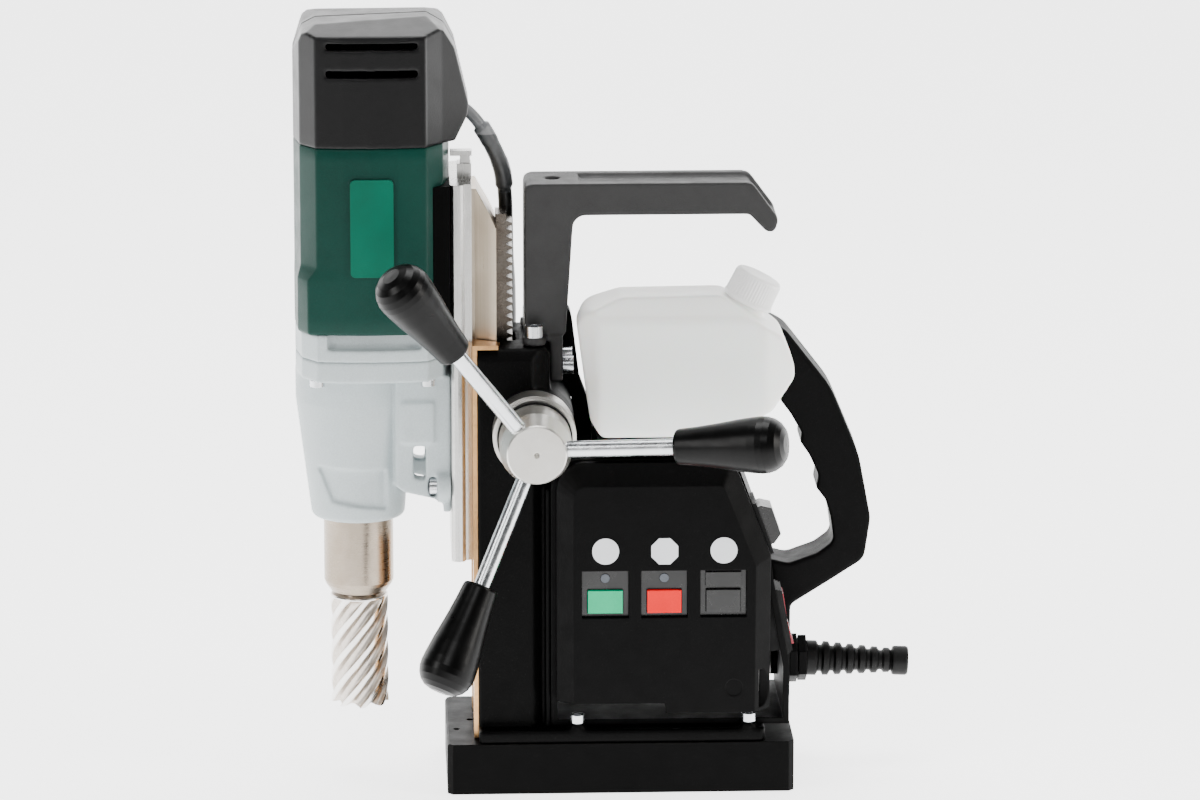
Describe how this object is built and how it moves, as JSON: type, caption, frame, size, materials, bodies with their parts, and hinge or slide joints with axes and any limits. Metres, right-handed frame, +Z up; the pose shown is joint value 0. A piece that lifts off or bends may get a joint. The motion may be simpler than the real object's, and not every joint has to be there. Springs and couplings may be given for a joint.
{
  "type": "magnetic drill press",
  "caption": "Magnetic-base core drilling press: motor unit on a dovetail slide, three-lever rack feed, control housing, coolant bottle and carry handles.",
  "frame": {"origin": "centre of the magnet's sole, on the surface that the machine clamps to", "axes": "+X from the cutter side to the cable side, +Y away from the control panel, +Z up along the slide's travel"},
  "size_m": [0.2999, 0.1824, 0.3773],
  "materials": {
    "magnet_steel": "black oxide, satin",
    "copper_winding": "enamelled wire",
    "potting": "cast resin, matte",
    "black_casting": "black textured powder coat on cast aluminium",
    "bronze": "machined bronze, satin",
    "zinc_steel": "bright zinc plate",
    "machined_alloy": "turned, satin",
    "black_rubber": "matte rubber",
    "handle_plastic": "grained moulded plastic, dark grey",
    "black_sheet": "black powder coat",
    "bottle_plastic": "translucent milk-white polyethylene",
    "white_plastic": "white moulded plastic",
    "black_plastic": "fine-grained moulded plastic, black",
    "white_print": "white printed discs",
    "black_key": "black moulded key",
    "lamp_lens": "smoked lens, unlit",
    "board": "green circuit board",
    "cable_jacket": "black cable jacket",
    "ground_steel": "ground and polished steel",
    "worn_steel": "ground steel with a warm oiled tint",
    "dark_steel": "milled steel, greased",
    "green_plastic": "dark green grained glass-filled plastic",
    "cap_plastic": "dark grey grained plastic",
    "green_plate": "lighter green plate, blank",
    "light_casting": "light grey fine-textured paint on cast aluminium",
    "bearing_steel": "polished steel",
    "laminations": "varnished steel laminations",
    "fan_plastic": "black glass-filled plastic",
    "gear_steel": "hardened gear steel",
    "burnished_steel": "burnished, brownish ground steel",
    "tool_steel": "ground high speed steel",
    "gloss_black": "polished black phenolic",
    "green_key": "green moulded key",
    "red_key": "red moulded key",
    "red_rocker": "dark red rocker"
  },
  "bodies": {
    "stand": {"magnet_base": "magnet_steel", "magnet_coil": "copper_winding", "coil_potting": "potting", "column": "black_casting", "gib_strips": "bronze", "gib_screws": "zinc_steel", "foot_screws": "zinc_steel", "feed_bushes": "bronze", "feed_flange": "machined_alloy", "feed_seal": "black_rubber", "carry_handle": "handle_plastic", "handle_screws": "zinc_steel", "bottle_bracket": "black_sheet", "coolant_bottle": "bottle_plastic", "control_housing": "black_plastic", "front_panel": "black_plastic", "rear_cover": "black_plastic", "cover_screws": "zinc_steel", "panel_symbols": "white_print", "switch_modules": "black_key", "status_leds": "lamp_lens", "circuit_board": "board", "rear_handle": "black_plastic", "switch_bezels": "black_rubber", "gland_nut": "black_plastic", "strain_relief": "black_rubber", "lead_grommet": "black_rubber", "motor_lead": "cable_jacket"},
    "carriage": {"slide_rail": "ground_steel", "slide_dovetail": "worn_steel", "rack": "dark_steel", "stop_plate": "ground_steel", "motor_housing": "green_plastic", "cap_near": "cap_plastic", "cap_far": "cap_plastic", "badge_plate": "green_plate", "motor_bracket": "black_sheet", "gearbox_flange": "light_casting", "gearbox_housing": "light_casting", "gearbox_screws": "zinc_steel", "bearings": "bearing_steel", "brush_plate": "black_plastic", "stator": "laminations"},
    "rotor": {"armature": "laminations", "cooling_fan": "fan_plastic"},
    "layshaft_unit": {"layshaft": "gear_steel"},
    "spindle_unit": {"spindle": "burnished_steel", "output_gear": "gear_steel", "core_cutter": "tool_steel"},
    "feed": {"feed_shaft": "zinc_steel", "feed_hub": "machined_alloy", "lever_rods": "zinc_steel", "lever_knobs": "gloss_black"},
    "green_key": {"green_button": "green_key"},
    "red_key": {"red_button": "red_key"},
    "black_key": {"black_button": "black_key"},
    "magnet_rocker": {"magnet_rocker": "red_rocker"},
    "top_rocker": {"top_rocker": "black_key"},
    "cap_lift": {"cap_liner": "white_plastic"},
    "cap": {"bottle_cap": "white_plastic"}
  },
  "joints": [
    {"name": "carriage_slide", "type": "slide", "parent": "stand", "child": "carriage", "axis": [0, 0, 1], "range_m": [-0.086, 0.062], "deforming": ["motor_lead"]},
    {"name": "feed_spin", "type": "hinge", "parent": "stand", "child": "feed", "pos_m": [-0.0416, 0, 0.179], "axis": [0, 1, 0], "range_deg": [-465, 336]},
    {"name": "spindle_spin", "type": "hinge", "parent": "carriage", "child": "spindle_unit", "pos_m": [-0.126, 0, 0.12], "axis": [0, 0, 1], "continuous": true},
    {"name": "layshaft_spin", "type": "hinge", "parent": "carriage", "child": "layshaft_unit", "pos_m": [-0.11471, 0.01888, 0.19], "axis": [0, 0, 1], "continuous": true},
    {"name": "rotor_spin", "type": "hinge", "parent": "carriage", "child": "rotor", "pos_m": [-0.1182, 0, 0.25], "axis": [0, 0, 1], "continuous": true},
    {"name": "green_button_press", "type": "slide", "parent": "stand", "child": "green_key", "axis": [0, 1, 0], "range_m": [0, 0.002], "stiffness_N_per_m": 400, "springref_m": -0.001},
    {"name": "red_button_press", "type": "slide", "parent": "stand", "child": "red_key", "axis": [0, 1, 0], "range_m": [0, 0.002], "stiffness_N_per_m": 400, "springref_m": -0.001},
    {"name": "black_button_press", "type": "slide", "parent": "stand", "child": "black_key", "axis": [0, 1, 0], "range_m": [0, 0.002], "stiffness_N_per_m": 400, "springref_m": -0.001},
    {"name": "magnet_rocker_tilt", "type": "hinge", "parent": "stand", "child": "magnet_rocker", "pos_m": [0.078, -0.022, 0.082], "axis": [0, 1, 0], "range_deg": [0, 9]},
    {"name": "top_rocker_tilt", "type": "hinge", "parent": "stand", "child": "top_rocker", "pos_m": [0.06835, -0.02, 0.1285], "axis": [0, 1, 0], "range_deg": [-9, 0]},
    {"name": "cap_lift", "type": "slide", "parent": "stand", "child": "cap_lift", "axis": [0.4384, 0, 0.8988], "range_m": [0, 0.009]},
    {"name": "cap_turn", "type": "hinge", "parent": "cap_lift", "child": "cap", "pos_m": [0.061, -0.0185, 0.238], "axis": [0.4384, 0, 0.8988], "range_deg": [0, 1081]}
  ],
  "couplings": [
    {"joint": "feed_spin", "follows": "carriage_slide", "rad_per_m": 94.118},
    {"joint": "layshaft_spin", "follows": "spindle_spin", "ratio": -3},
    {"joint": "rotor_spin", "follows": "spindle_spin", "ratio": 11.4},
    {"joint": "cap_turn", "follows": "cap_lift", "rad_per_m": 2094.4}
  ]
}
